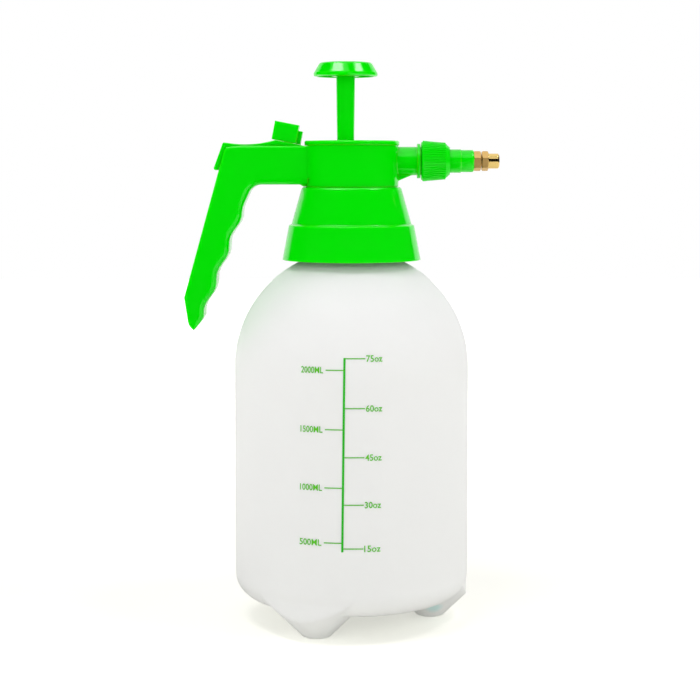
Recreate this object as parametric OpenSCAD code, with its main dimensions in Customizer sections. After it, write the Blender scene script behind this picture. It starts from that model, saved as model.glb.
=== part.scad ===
// One-hand pressure sprayer, two litres: bottle, clamped head with pump, trigger valve and nozzle.
// The origin is on the bottle's axis at floor level, +Z is up and +X points along the spray.

/* [Bottle] */
// Outside diameter of the bottle
bottle_d = 140; // [120:1:160]
// Thickness of the bottle's wall
bottle_wall = 1.8; // [1.2:0.1:3]
// Height where the domed shoulder starts
shoulder_z = 153; // [120:1:190]
// Outside diameter of the neck
neck_d = 55; // [50:0.5:58]
// Thickness of the neck's wall
neck_wall = 2.6; // [2:0.1:3.5]
// Length of the neck above the dome
neck_h = 22.6; // [18:0.1:30]

/* [Base] */
// Height of the base between the feet
base_z = 15; // [11:0.5:20]
// Rounding of the base's edge
base_round = 14; // [5:0.5:16]
// How far a foot's middle stands in from the wall
foot_setback = 22; // [18:0.5:26]
// Diameter of a foot where its flank starts
foot_d = 16; // [14:0.5:22]
// Rounding at the bottom of a foot
foot_round = 4; // [1.5:0.5:4]
// Direction of the first foot, from the nozzle's side
foot_turn = 5; // [-20:1:20]

/* [Collar] */
// Height of the collar
collar_h = 43.2; // [38:0.1:48]
// Height of the lower cone
collar_step_h = 20.5; // [14:0.5:26]
// Diameter at the collar's bottom
collar_bottom_d = 82.6; // [78:0.2:90]
// Diameter at the top of the lower cone
collar_step_d = 74.8; // [72:0.2:80]
// Diameter at the bottom of the upper cone
collar_mid_d = 71.6; // [66:0.2:74]
// Diameter at the collar's top
collar_top_d = 59.8; // [58:0.2:64]
// Thickness of the collar's skin
collar_wall = 2.2; // [1.6:0.1:3]
// How far the collar reaches below the bottle's mouth
collar_cover = 23; // [20:0.5:26]
// Number of inner ribs
collar_ribs = 12; // [6:1:18]

/* [Head] */
// Diameter of the head
head_d = 56; // [52:0.5:62]
// Height of the head above the collar
head_h = 24.5; // [22:0.5:30]
// Thickness of the head's wall
head_wall = 2.6; // [2:0.1:3.5]
// Thickness of the floor over the pump
head_floor = 5; // [4:0.1:8]
// Diameter of the stem inside the collar
stem_d = 48; // [44:0.5:50]
// Diameter of the lid
lid_d = 57; // [53:0.5:63]
// Thickness of the lid
lid_t = 2.6; // [2:0.1:4]

/* [Handle] */
// Width of the arm and handle
arm_w = 26; // [22:0.5:32]
// Thickness of the arm's side walls
arm_wall = 2.5; // [2:0.1:3.5]
// Thickness of the arm's floor
arm_floor = 1.5; // [1.2:0.1:3]
// Distance of the handle's back from the axis, at the arm's top
handle_reach = 74.3; // [70:0.1:84]
// Height of the handle
handle_drop = 109; // [95:0.5:120]
// Lean of the handle's back
back_lean = 15.5; // [10:0.5:20]
// Lean of the finger side
grip_lean = 20.6; // [16:0.2:22]
// Distance of the finger side from the axis, at the arm's underside
grip_reach = 58.7; // [55:0.1:62]
// Spacing of the finger waves
finger_pitch = 20.5; // [17:0.5:24]
// Depth of the finger waves
finger_depth = 1.2; // [0.4:0.1:2]
// Rounding of the finger side's edges
grip_round = 3.6; // [2:0.1:5]

/* [Trigger] */
// Width of the lever
lever_w = 20; // [17:0.2:20.4]
// Thickness of the lever's plate
lever_t = 2.6; // [2:0.1:3.5]
// Distance of the pivot from the axis
pivot_reach = 70; // [66:0.5:71]
// Depth of the pivot below the arm's top
pivot_depth = 5.6; // [5:0.1:7]
// Diameter of the pivot pin
pin_d = 3; // [2:0.1:4]
// Slope of the ramp under the lock
ramp_lean = 11; // [9:0.5:13]
// Distance of the ramp's crest from the axis
crest_reach = 47.2; // [45:0.1:50]
// Height of the crest above the arm's top
crest_h = 3.8; // [3:0.1:5]
// Width of the lock block
lock_w = 18; // [14:0.5:19]
// Length of the lock block
lock_l = 14.5; // [12:0.1:15]
// Height of the lock block
lock_h = 11; // [8:0.1:13]
// Travel of the lock
lock_travel = 4; // [3:0.1:5]

/* [Pump] */
// Distance of the pump's axis from the bottle's axis
pump_shift = 3.5; // [2:0.1:5]
// Bore of the pump's barrel
barrel_bore = 23; // [20:0.2:24]
// Thickness of the barrel's wall
barrel_wall = 1.5; // [1.2:0.1:2.2]
// Diameter of the rod at the knob
rod_top_d = 11.4; // [10:0.1:11.6]
// Diameter of the rod at the piston
rod_end_d = 8.6; // [8:0.1:10]
// Height of the knob above the lid
knob_lift = 38; // [30:0.2:46]
// Travel left above the pose shown
stroke_up = 30; // [15:1:34]
// Height of the knob
knob_h = 8.2; // [6:0.2:12]
// Diameter at the knob's bottom
knob_bottom_d = 38; // [33:0.2:42]
// Diameter at the knob's top
knob_top_d = 31.4; // [27:0.2:34]
// Height of the piston
piston_h = 10; // [9:0.5:14]
// Thickness of the clamping flange
flange_t = 3.5; // [2.5:0.1:4.5]
// Thickness of the neck gasket
gasket_t = 2; // [1.5:0.1:3]

/* [Suction] */
// Distance of the suction nipple from the bottle's axis
nipple_reach = 18.5; // [18:0.1:19]
// Outside diameter of the dip tube
dip_d = 8; // [7:0.1:8.4]
// Thickness of the dip tube's wall
dip_wall = 1; // [0.8:0.1:1.2]
// Radius of the dip tube's bend
dip_bend = 40; // [25:1:60]
// Height of the strainer's end above the floor
strainer_z = 5; // [4:0.5:9]
// Length of the strainer
strainer_l = 13; // [10:0.5:18]

/* [Valve] */
// Height of the valve's axis above the arm's floor
valve_h = 4; // [3.5:0.1:4.4]
// Diameter of the valve's chamber
chamber_d = 6.4; // [6:0.1:6.8]
// Diameter of the needle
needle_d = 2.4; // [2:0.1:2.8]
// Travel of the needle
needle_travel = 1.9; // [1.5:0.1:2.2]
// Thickness of the pull bar
bar_t = 1.6; // [1.2:0.1:2]

/* [Nozzle] */
// Depth of the nozzle's axis below the head's top
nozzle_depth = 9.4; // [8.6:0.1:10.5]
// Diameter of the spout
spout_d = 17; // [15:0.2:17]
// Reach of the spout's bead from the axis
bead_reach = 39; // [37:0.2:44]
// Diameter of the bead
bead_d = 20.6; // [19:0.2:22]
// Length of the nut
nut_l = 17; // [14:0.2:20]
// Diameter of the nut at the bead
nut_back_d = 24.2; // [23:0.2:26]
// Diameter of the nut at its front
nut_front_d = 21.8; // [20:0.2:23]
// Number of ribs on the nut
nut_ribs = 48; // [24:2:48]
// Diameter of the nozzle tube
tube_d = 14; // [13:0.1:14.2]
// Diameter of the tube's front step
tube_front_d = 13.2; // [12.4:0.1:13.6]
// Length of the tube ahead of the nut
tube_l = 14.3; // [11:0.1:20]
// Width of the brass hexagons over their corners
hex_d = 12; // [11:0.1:13]
// Length of the base's hexagon
hex_base_l = 4.2; // [3:0.1:6]
// Length of the tip's hexagon
hex_tip_l = 3.8; // [3:0.1:6]
// Gap between the two hexagons
hex_gap = 0.6; // [0.5:0.1:1.2]
// Diameter of the tip
tip_d = 9; // [8.4:0.1:10]
// Length of the tip ahead of its hexagon
tip_l = 6.5; // [5:0.1:9]

/* [Hidden] */
$fn = 72;
// Gap between pieces that move past each other
play = 0.3;
// Gap between a pin and its hole
pin_play = 0.05;
// Overlap that makes one solid of two, and reach of a cut past a face
sink = 0.5;

bottle_r = bottle_d / 2;
neck_r = neck_d / 2;
mouth_r = neck_r - neck_wall;
dome_top = shoulder_z + sqrt(pow(bottle_r, 2) - pow(neck_r, 2));
mouth_z = dome_top + neck_h;
foot_r = foot_d / 2;
foot_ring_d = bottle_d - 2 * foot_setback;
foot_rise = base_z + base_round;
// How far the feet stay inside the wall above them
foot_inset = 0.6;

flange_z = mouth_z + gasket_t;
stem_z = flange_z + flange_t;
collar_z = mouth_z - collar_cover;
collar_top = collar_z + collar_h;
thread_r = neck_r + 2.7;
flange_r = thread_r - 0.8;
stem_r = stem_d / 2;
// Groove in the stem for the seal round the pump barrel
seal_groove_up = 4;
seal_groove_w = 1.8;
seal_groove_depth = 1.5;

head_r = head_d / 2;
head_z = collar_top + play;
head_top = head_z + head_h;
head_bore = head_r - head_wall;
// Lip of the head that turns in a recess of the collar's top
lip_r = min(head_r - 0.8, collar_top_d / 2 - 2.8);
lip_h = 0.8;
head_floor_z = head_z + head_floor / 2;
barrel_stop = head_floor_z - head_floor;
lid_top = head_top + lid_t;
lid_ring_h = 2.5;

pump_x = -pump_shift;
barrel_r = barrel_bore / 2 + barrel_wall;
barrel_top = barrel_stop - play;
piston_top = barrel_stop - stroke_up - 0.5;
piston_z = piston_top - piston_h;
stroke_down = knob_lift - 0.4;
barrel_floor_t = 3;
// Radius of the ring of air holes in the barrel's floor
port_ring_r = 5;
barrel_floor_z = piston_z - stroke_down - 3.5;
barrel_z = barrel_floor_z - barrel_floor_t;
rod_hole_r = rod_top_d / 2 + play;
knob_z = lid_top + knob_lift;
knob_skin = 2;
rod_socket = 4.5;
spigot_r = 3;
spigot_h = 6;
// Depth of the rod's hole for the piston's screw
pilot_l = 10;

arm_top = head_top - 0.4;
arm_z = head_z + 1.2;
trough_z = arm_z + arm_floor;
trough_w = arm_w - 2 * arm_wall;
trough_back = pivot_reach + 6;
back_slope = tan(back_lean);
grip_slope = tan(grip_lean);
handle_tip = arm_top - handle_drop;
inner_round = 8;
outer_round = 3;
back_round = 1.2;
// Turned-in face, end rounding and finger-side curl of the handle's tip
tip_face = 14.3;
tip_lean = 8.6;
tip_round = 6.7;
tip_turn = 55;
tip_curl = 2.6;
grip_tail = 8;
// Rounding between the arm's sides and the head
arm_fillet = 4;

pivot_x = -pivot_reach;
pivot_z = arm_top - pivot_depth;
pin_l = arm_w - 2;
crest_x = -crest_reach;
crest_z = arm_top + crest_h;
ramp_l = (crest_reach - head_r - 1.6) / cos(ramp_lean);
lever_under = arm_top - 2;
hook_t = 2.6;
hook_l = 16.4;
hook_lean = 20.2;
hook_slope = tan(hook_lean);
hook_gap = 0.9;
// Rear end of the lever's top, hump before the crest, and hollow for the thumb
lever_back = -(handle_reach + hook_gap + hook_t / 2);
hump_l = 6;
hollow_r = 64;
hollow_rise = 0.85;
hollow_shift = 5.9;
hollow_x = (lever_back + 2 * crest_x) / 3 - hollow_shift;
cheek_t = 2.2;
cheek_l = 10;
leg_w = 3;
leg_l = 3;
leg_play = 0.55;
leg_reach = 2;
lock_neck_w = 6;
lock_neck_u = 7;
lock_neck_l = 5.5;
lock_foot_u = 5;
lock_foot_l = 9;
lock_foot_v = lever_t + 3.4;
lock_foot_t = 1.5;
tongue_w = 12;
tongue_h = 7.8;
tongue_l = 2.7;

valve_z = trough_z + valve_h;
lever_press = atan(needle_travel / (pivot_z - valve_z));
chamber_r = chamber_d / 2;
needle_r = needle_d / 2;
eye_r = rod_hole_r + 0.6;
eye_rim = 2.9;
tab_t = 1.2;
tab_w = 8;
tab_h = 8;
tab_x = pump_x + eye_r + eye_rim;
head_x = tab_x - sink - 1;
boss_x = tab_x + tab_t + 0.4;
boss_r = chamber_r + 3;
gland_l = 4;
spring_x = boss_x + gland_l;
spring_l = 5;
poppet_x = spring_x + spring_l;
poppet_t = 2;
needle_seal_t = 1.5;
seat_x = poppet_x + poppet_t + needle_seal_t;
seat_r = 1.6;
port_x = seat_x + 2.6;
suction_r = 2;

nozzle_z = head_top - nozzle_depth;
spout_r = spout_d / 2;
spout_bore = 5;
thread_step = 0.6;
bead_t = 1.8;
gusset_w = 5;
nut_x = bead_reach + bead_t + 0.6;
nut_front = nut_x + nut_l;
nut_wall = 3;
spout_end = nut_front - nut_wall - 3.2;
washer_t = 1;
rim_t = 2;
rim_x = spout_end + washer_t;
tube_r = tube_d / 2;
tube_end = nut_front + tube_l;
tube_step = tube_l * 0.46;
tube_bore = 3;
shank_r = 4;
shank_l = 8;
stud_r = 3;
stud_l = 7;
base_end = tube_end + hex_base_l;
tip_x = base_end + hex_gap;
tip_front = tip_x + hex_tip_l + tip_l;
tip_bore = 3.4;
tip_bore_l = stud_l + 1.6;
tip_cord = 0.5;
ring_x = tip_x + 2;

dip_run_x = foot_ring_d / 2 * cos(foot_turn) - nipple_reach;
dip_run_y = foot_ring_d / 2 * sin(foot_turn);
dip_run = sqrt(pow(dip_run_x, 2) + pow(dip_run_y, 2));
nipple_l = 12;
dip_top = flange_z - 0.2;
// Straight length of the suction tube below its nipple
dip_straight = 5;
dip_bend_z = flange_z - nipple_l - dip_straight;
dip_drop = dip_bend_z - strainer_z;
dip_far = sqrt(pow(dip_drop, 2) + pow(dip_run - dip_bend, 2));
dip_lean = atan2(dip_run - dip_bend, dip_drop) + asin(dip_bend / dip_far);
dip_slant = sqrt(pow(dip_far, 2) - pow(dip_bend, 2));
dip_r = dip_d / 2;
strainer_r = dip_r + 1.6;
strainer_cup = 6;

// Cylinder along +X from x, at height z.
module rod_x(x, l, r, z) {
    translate([x, 0, z])
        rotate([0, 90, 0])
            cylinder(r = r, h = l);
}

// Ring of round section, lying flat at height z.
module cord_ring(r, cord, z) {
    translate([0, 0, z])
        rotate_extrude()
            translate([r, 0])
                circle(r = cord, $fn = 24);
}

// Outline in the XZ plane, pulled to both sides of the middle plane.
module slab(w) {
    rotate([90, 0, 0])
        translate([0, 0, -w / 2])
            linear_extrude(height = w)
                children();
}

// Carries the lock and its guide into the ramp's own directions.
module on_ramp() {
    translate([crest_x, 0, crest_z])
        rotate([0, ramp_lean, 0])
            children();
}

// Half profile of the bottle's body, inset by t.
module bottle_profile(t) {
    r = bottle_r - t;
    corner = base_round - t;
    floor_z = base_z + t;
    translate([0, floor_z + corner])
        square([r, shoulder_z - floor_z - corner]);
    translate([0, floor_z])
        square([r - corner, corner + sink]);
    translate([r - corner, floor_z + corner])
        circle(r = corner);
    intersection() {
        translate([0, shoulder_z])
            circle(r = r, $fn = 144);
        translate([0, shoulder_z])
            square([r, r]);
    }
}

// Three conical feet, inset by t.
module feet(t) {
    flank = t * sqrt(2);
    bottom_r = foot_r - flank + t;
    for (i = [0 : 2])
        intersection() {
            rotate([0, 0, foot_turn + 120 * i])
                translate([foot_ring_d / 2, 0, t])
                    rotate_extrude()
                        foot_profile(bottom_r, foot_rise - t, foot_round - t / 2);
            cylinder(r = bottle_r - t - foot_inset, h = foot_rise);
        }
}

// Half profile of a foot with a 45 degree flank and a rounded bottom edge.
module foot_profile(r, h, corner) {
    cut = corner * tan(22.5);
    polygon(concat(
        [[0, 0]],
        [for (a = [0 : 7.5 : 45]) [r - cut + corner * sin(a), corner - corner * cos(a)]],
        [[r + h, h], [0, h]]));
}

module bottle() {
    color("Ivory")
        difference() {
            union() {
                rotate_extrude($fn = 144) {
                    bottle_profile(0);
                    translate([0, shoulder_z])
                        square([neck_r, mouth_z - shoulder_z]);
                }
                feet(0);
            }
            rotate_extrude($fn = 144)
                bottle_profile(bottle_wall);
            feet(bottle_wall);
            translate([0, 0, shoulder_z])
                cylinder(r = mouth_r, h = mouth_z - shoulder_z + sink);
        }
}

module neck_gasket() {
    color("DimGray")
        translate([0, 0, mouth_z])
            difference() {
                cylinder(r = neck_r - 0.2, h = gasket_t);
                translate([0, 0, -sink])
                    cylinder(r = mouth_r, h = gasket_t + 2 * sink);
            }
}

// Outer skin of the collar as a half profile, inset by t.
module collar_profile(t) {
    polygon([
        [0, 0],
        [collar_bottom_d / 2 - t, 0],
        [collar_step_d / 2 - t, collar_step_h],
        [collar_mid_d / 2 - t, collar_step_h + 0.8],
        [collar_top_d / 2 - t, collar_h - 1],
        [collar_top_d / 2 - t - 1, collar_h],
        [0, collar_h],
    ]);
}

module screw_collar() {
    sleeve_r = thread_r + collar_wall;
    shoulder = stem_z + 0.4 - collar_z;
    color("LimeGreen")
        translate([0, 0, collar_z])
            difference() {
                rotate_extrude($fn = 120)
                    collar_profile(0);
                difference() {
                    translate([0, 0, -sink])
                        intersection() {
                            rotate_extrude($fn = 120)
                                collar_profile(collar_wall);
                            cylinder(r = collar_bottom_d, h = collar_step_h + sink - collar_wall);
                        }
                    cylinder(r = sleeve_r, h = collar_h);
                    for (i = [0 : collar_ribs - 1])
                        rotate([0, 0, 360 / collar_ribs * i])
                            translate([0, -0.8, 3])
                                cube([collar_bottom_d / 2, 1.6, collar_step_h]);
                }
                translate([0, 0, -sink])
                    cylinder(r = thread_r, h = shoulder + sink);
                cylinder(r = stem_r + 0.4, h = collar_h + sink);
                translate([0, 0, collar_h - lip_h - play])
                    cylinder(r = lip_r + play, h = lip_h + play + sink);
                translate([0, 0, -sink])
                    cylinder(r1 = thread_r + 1.4 + sink, r2 = thread_r, h = 1.4 + sink);
            }
}

// Back edge of the handle at height z.
function back_x(z) = -(handle_reach + (arm_top - z) * back_slope);

// Straight line of the finger side at height z.
function grip_line(z) = -(grip_reach + (arm_z - z) * grip_slope);

// Finger side with its waves at height z.
function grip_x(z) = grip_line(z) + finger_depth * cos(360 * (arm_z - wave_start - z) / finger_pitch);

// Tangent points and centre of the rounding between arm and finger side.
inner_tangent = inner_round / tan((90 + grip_lean) / 2);
inner_centre = [-grip_reach + inner_tangent, arm_z - inner_round];
fan_steps = 6;
fan_turn = 90 - grip_lean;
grip_start = arm_z - inner_tangent * cos(grip_lean);
grip_end = handle_tip + grip_tail;
grip_steps = 26;
back_start = arm_top - outer_round * 4;
wave_start = 20.5;
tip_steps = 6;
tip_z0 = handle_tip + tip_face + tip_round * (sin(tip_lean + tip_turn) - sin(tip_lean));
tip_corner = [back_x(tip_z0), tip_z0];
tip_foot = tip_corner + tip_face * [tan(tip_lean), -1];
tip_centre = tip_foot + tip_round * [cos(tip_lean), sin(tip_lean)];

// Point on the outer edge round the corner of arm and handle, for t from 0 to 1.
function corner_point(t) =
    t < 0.5 ? [inner_centre[0] + (-(handle_reach - outer_round) - inner_centre[0]) * t * 2, arm_top]
    : t < 0.8 ? [back_x(arm_top) + outer_round * 0.2, arm_top - outer_round * 0.25]
    : t < 1 ? [back_x(arm_top - outer_round), arm_top - outer_round]
    : [back_x(back_start), back_start];

function mix(a, b, t) = a + (b - a) * t;

// Point of the tip's outer edge, for t from 0 to 1: a third along the face, the rest round the end.
function tip_point(t) =
    t < 0.4 ? mix(tip_corner, tip_foot, 3 * t)
    : let (a = tip_lean + tip_turn * (1.5 * t - 0.5)) tip_centre - tip_round * [cos(a), sin(a)];

// Stations along arm and handle, each with its outer and its inner point.
stations = concat(
    [for (x = [-head_bore - 0.4, mix(-head_bore, inner_centre[0], 0.5)]) [[x, arm_top], [x, arm_z]]],
    [for (i = [0 : fan_steps])
        let (a = 90 + fan_turn * i / fan_steps)
        [corner_point(i / fan_steps), inner_centre + inner_round * [cos(a), sin(a)]]],
    [for (i = [1 : grip_steps])
        let (t = i / grip_steps, zi = mix(grip_start, grip_end, t), zo = mix(back_start, tip_z0, t),
             ease = min(1, t * 5))
        [[back_x(zo), zo], [mix(grip_line(zi), grip_x(zi), ease), zi]]],
    [for (i = [1 : tip_steps])
        let (t = i / tip_steps, zi = mix(grip_end, handle_tip, t),
             wave = finger_depth * (1 - t) * cos(360 * (arm_z - wave_start - grip_end) / finger_pitch))
        [tip_point(t), [grip_line(zi) + wave - tip_curl * t * t, zi]]]
);

// Ring of points round one station: a rectangle with rounded corners.
function station_ring(s) =
    let (o = s[0], l = norm(s[1] - s[0]), e = (s[1] - s[0]) / l, h = arm_w / 2,
         rf = min(grip_round, l * 0.42), rb = min(back_round, l * 0.3))
    [for (p = concat(
        [for (a = [180 : 45 : 270]) [rb + rb * cos(a), -h + rb + rb * sin(a)]],
        [for (a = [270 : 18 : 360]) [l - rf + rf * cos(a), -h + rf + rf * sin(a)]],
        [for (a = [0 : 18 : 90]) [l - rf + rf * cos(a), h - rf + rf * sin(a)]],
        [for (a = [90 : 45 : 180]) [rb + rb * cos(a), h - rb + rb * sin(a)]]))
        [o[0] + e[0] * p[0], p[1], o[1] + e[1] * p[0]]];

// Arm and handle in one loft through the stations.
module grip() {
    rings = [for (s = stations) station_ring(s)];
    n = len(rings[0]);
    m = len(rings);
    polyhedron(
        points = [for (r = rings) for (p = r) p],
        faces = concat(
            [[for (j = [n - 1 : -1 : 0]) j]],
            [for (k = [0 : m - 2]) for (j = [0 : n - 1])
                [k * n + j, k * n + (j + 1) % n, (k + 1) * n + j]],
            [for (k = [0 : m - 2]) for (j = [0 : n - 1])
                [(k + 1) * n + j, k * n + (j + 1) % n, (k + 1) * n + (j + 1) % n]],
            [[for (j = [0 : n - 1]) (m - 1) * n + j]]));
}

// A point beside the lever's pivot, turned down with the pressed lever.
function pressed(p) =
    let (x = p[0] - pivot_x, z = p[1] - pivot_z)
    [
        pivot_x + x * cos(lever_press) + z * sin(lever_press),
        pivot_z - x * sin(lever_press) + z * cos(lever_press)
    ];

// A point of the ramp's side view, u along the ramp and v above it.
function ramp_point(u, v) =
    [crest_x + u * cos(ramp_lean) + v * sin(ramp_lean), crest_z - u * sin(ramp_lean) + v * cos(ramp_lean)];

// Ledges on the trough's walls that the pressed lever's lock slides under.
module catch_ledges() {
    gap = 0.4;
    ledge_w = 3;
    ledge_l = 3.4;
    back = lock_foot_u - lock_travel;
    over = ramp_point(back, -lock_foot_v - lock_foot_t) - [0, gap];
    under = pressed(ramp_point(back, -lock_foot_v)) + [0, gap];
    front = ramp_point(lock_foot_u, -lock_foot_v)[0] - 0.8;
    rear = front - ledge_l;
    for (side = [-1, 1])
        translate([0, side * (trough_w - ledge_w + sink) / 2, 0])
            slab(ledge_w + sink)
                polygon([
                    [rear, over[1] - (rear - over[0]) * tan(ramp_lean)],
                    [front, over[1] - (front - over[0]) * tan(ramp_lean)],
                    [front, under[1] - (front - under[0]) * tan(ramp_lean + lever_press)],
                    [rear, under[1] - (rear - under[0]) * tan(ramp_lean + lever_press)],
                ]);
}

// Hollow roundings between the arm's two sides and the head, and a small one under the arm.
module arm_fillets() {
    bite = 0.06;
    in_wall = 1;
    w = arm_w / 2;
    cy = w + arm_fillet - bite;
    reach = head_r + arm_fillet - bite;
    cx = -sqrt(pow(reach, 2) - pow(cy, 2));
    under_l = 2.4;
    for (side = [-1, 1])
        scale([1, side, 1])
            translate([0, 0, arm_z + grip_round])
                linear_extrude(height = arm_top - arm_z - grip_round)
                    difference() {
                        polygon([
                            [cx, w - in_wall],
                            [cx, cy],
                            [cx, cy] * (head_r - in_wall) / reach,
                            [-sqrt(pow(head_r - in_wall, 2) - pow(w - in_wall, 2)), w - in_wall],
                        ]);
                        translate([cx, cy])
                            circle(r = arm_fillet);
                    }
    slab(arm_w - 2 * grip_round)
        polygon([
            [-head_r - under_l, arm_z + sink],
            [-head_r - under_l, arm_z],
            [-head_r - 0.3, head_z],
            [-head_r + in_wall, head_z],
            [-head_r + in_wall, arm_z + sink],
        ]);
}

// Horizontal boss of the spray valve, standing on the head's floor.
module valve_boss() {
    rod_x(boss_x, head_r - 1 - boss_x, boss_r, valve_z);
    translate([boss_x, -boss_r, head_floor_z - sink])
        cube([head_r - 3 - boss_x, 2 * boss_r, valve_z - head_floor_z + sink]);
}

// Spout with its bead, threaded end and lower gusset.
module spout() {
    rod_x(head_bore, bead_reach + sink - head_bore, spout_r, nozzle_z);
    rod_x(bead_reach, bead_t, bead_d / 2, nozzle_z);
    rod_x(bead_reach + bead_t - sink, spout_end - bead_reach - bead_t + sink,
        spout_r - thread_step, nozzle_z);
    slab(gusset_w)
        polygon([
            [head_r - 1, nozzle_z],
            [bead_reach - 3, nozzle_z],
            [bead_reach - 3, nozzle_z - spout_r + 0.2],
            [head_r - 1, head_z + 3],
        ]);
}

module head_housing() {
    color("LimeGreen")
        difference() {
            union() {
                difference() {
                    union() {
                        translate([0, 0, head_z])
                            cylinder(r = head_r, h = head_h, $fn = 120);
                        grip();
                    }
                    translate([0, 0, head_floor_z])
                        cylinder(r = head_bore, h = head_h);
                    translate([-trough_back, -trough_w / 2, trough_z])
                        cube([trough_back - head_bore + 2, trough_w, head_h]);
                    translate([-handle_reach - head_h, -trough_w / 2, arm_top - hook_l + 1])
                        cube([head_h + 2, trough_w, head_h]);
                    translate([-handle_reach - head_h, -trough_w / 2, lever_under - 0.4])
                        cube([handle_reach + head_h - trough_back + 1, trough_w, head_h]);
                }
                translate([0, 0, stem_z])
                    cylinder(r = stem_r, h = head_z - stem_z + sink);
                translate([0, 0, head_z - lip_h])
                    cylinder(r = lip_r, h = lip_h + sink);
                arm_fillets();
                spout();
                valve_boss();
                catch_ledges();
            }
            translate([pump_x, 0, stem_z - sink])
                cylinder(r = barrel_r + 0.1, h = barrel_stop - stem_z + sink);
            translate([pump_x, 0, stem_z + seal_groove_up])
                cylinder(r = barrel_r + seal_groove_depth, h = seal_groove_w);
            translate([pump_x, 0, stem_z])
                cylinder(r = rod_hole_r, h = head_h + flange_t * 4);
            translate([nipple_reach, 0, stem_z - sink])
                cylinder(r = suction_r, h = valve_z - stem_z + sink, $fn = 36);
            rod_x(boss_x - sink, seat_x - boss_x + sink, chamber_r, valve_z);
            rod_x(seat_x - sink, port_x - seat_x + sink, seat_r, valve_z);
            translate([port_x, 0, valve_z - seat_r])
                cylinder(r = seat_r, h = nozzle_z - valve_z + seat_r, $fn = 36);
            rod_x(port_x - seat_r, spout_end - port_x + seat_r + sink, spout_bore, nozzle_z);
            translate([pivot_x, pin_l / 2, pivot_z])
                rotate([90, 0, 0])
                    cylinder(d = pin_d, h = pin_l, $fn = 36);
        }
}

module head_lid() {
    ring_r = head_bore - 0.2;
    notch_x = -head_bore - 0.2;
    color("LimeGreen")
        difference() {
            union() {
                translate([0, 0, head_top])
                    cylinder(d = lid_d, h = lid_t - 0.6, $fn = 120);
                translate([0, 0, lid_top - 0.6])
                    cylinder(d1 = lid_d, d2 = lid_d - 1.2, h = 0.6, $fn = 120);
                difference() {
                    translate([0, 0, head_top - lid_ring_h])
                        cylinder(r = ring_r, h = lid_ring_h + sink);
                    translate([0, 0, head_top - lid_ring_h - sink])
                        cylinder(r = ring_r - 2, h = lid_ring_h + sink);
                    translate([-head_r, -trough_w / 2 - play, head_top - lid_ring_h - sink])
                        cube([head_r, trough_w + 2 * play, lid_ring_h + sink]);
                    rod_x(0, head_r, spout_r + sink, nozzle_z);
                }
                translate([pump_x, 0, head_top - 4])
                    cylinder(r = rod_hole_r + 2, h = 4 + sink);
            }
            translate([pump_x, 0, head_top - 4 - sink])
                cylinder(r = rod_hole_r, h = 4 + lid_t + 2 * sink);
            translate([notch_x - lid_d, -tongue_w / 2 - 0.4, head_top - sink])
                cube([lid_d, tongue_w + 0.8, lid_t + 2 * sink]);
        }
}

module pump_cylinder() {
    color("WhiteSmoke")
        difference() {
            union() {
                translate([0, 0, flange_z])
                    cylinder(r = flange_r, h = flange_t);
                translate([pump_x, 0, barrel_z])
                    cylinder(r = barrel_r, h = barrel_top - barrel_z);
                translate([nipple_reach, 0, flange_z - nipple_l])
                    cylinder(r = dip_r - dip_wall - 0.04, h = nipple_l + sink, $fn = 36);
            }
            translate([pump_x, 0, barrel_floor_z])
                cylinder(d = barrel_bore, h = barrel_top - barrel_floor_z + sink);
            translate([nipple_reach, 0, flange_z - nipple_l - sink])
                cylinder(r = suction_r, h = nipple_l + flange_t + 2 * sink, $fn = 36);
            translate([pump_x, 0, barrel_z - sink]) {
                cylinder(r = 1.6, h = barrel_floor_t + 2 * sink, $fn = 36);
                for (a = [0 : 60 : 300])
                    rotate([0, 0, a])
                        translate([port_ring_r, 0, 0])
                            cylinder(r = 1.2, h = barrel_floor_t + 2 * sink, $fn = 24);
            }
        }
}

module barrel_seal() {
    color("DimGray")
        translate([pump_x, 0, 0])
            cord_ring(barrel_r + seal_groove_depth / 2, 0.7, stem_z + seal_groove_up + seal_groove_w / 2);
}

module check_valve() {
    disc_r = 7.6;
    color("DimGray")
        translate([pump_x, 0, 0])
            rotate_extrude()
                polygon([
                    [0, barrel_z - 2.8],
                    [3, barrel_z - 2.8],
                    [disc_r, barrel_z - 0.7],
                    [disc_r, barrel_z],
                    [1.5, barrel_z],
                    [1.5, barrel_floor_z],
                    [2.3, barrel_floor_z],
                    [1.2, barrel_floor_z + 2.4],
                    [0, barrel_floor_z + 2.4],
                ]);
}

module piston() {
    r = barrel_bore / 2 - 0.2;
    groove = piston_z + 2.5;
    color("WhiteSmoke")
        translate([pump_x, 0, 0])
            difference() {
                rotate_extrude()
                    polygon([
                        [0, piston_z],
                        [r - 0.8, piston_z],
                        [r, piston_z + 0.8],
                        [r, groove],
                        [r - 2.6, groove],
                        [r - 2.6, piston_top - 2.5],
                        [r, piston_top - 2.5],
                        [r, piston_top - 0.6],
                        [r - 0.6, piston_top],
                        [0, piston_top],
                    ]);
                translate([0, 0, piston_top - spigot_h])
                    cylinder(r = spigot_r, h = spigot_h + sink);
                translate([0, 0, piston_z - sink])
                    cylinder(r = 1.6, h = piston_h, $fn = 36);
                translate([0, 0, piston_z - sink])
                    cylinder(r = 3.2, h = 2 + sink, $fn = 36);
            }
}

module piston_cup() {
    r = barrel_bore / 2;
    z0 = piston_z + 2.5;
    z1 = piston_top - 2.5;
    color("DimGray")
        translate([pump_x, 0, 0])
            rotate_extrude()
                polygon([
                    [r - 2.8, z0],
                    [r - 0.05, z0 + 0.2],
                    [r - 0.05, z0 + 1],
                    [r - 0.9, z1 - 1.2],
                    [r - 0.9, z1],
                    [r - 2.8, z1],
                ]);
}

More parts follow.
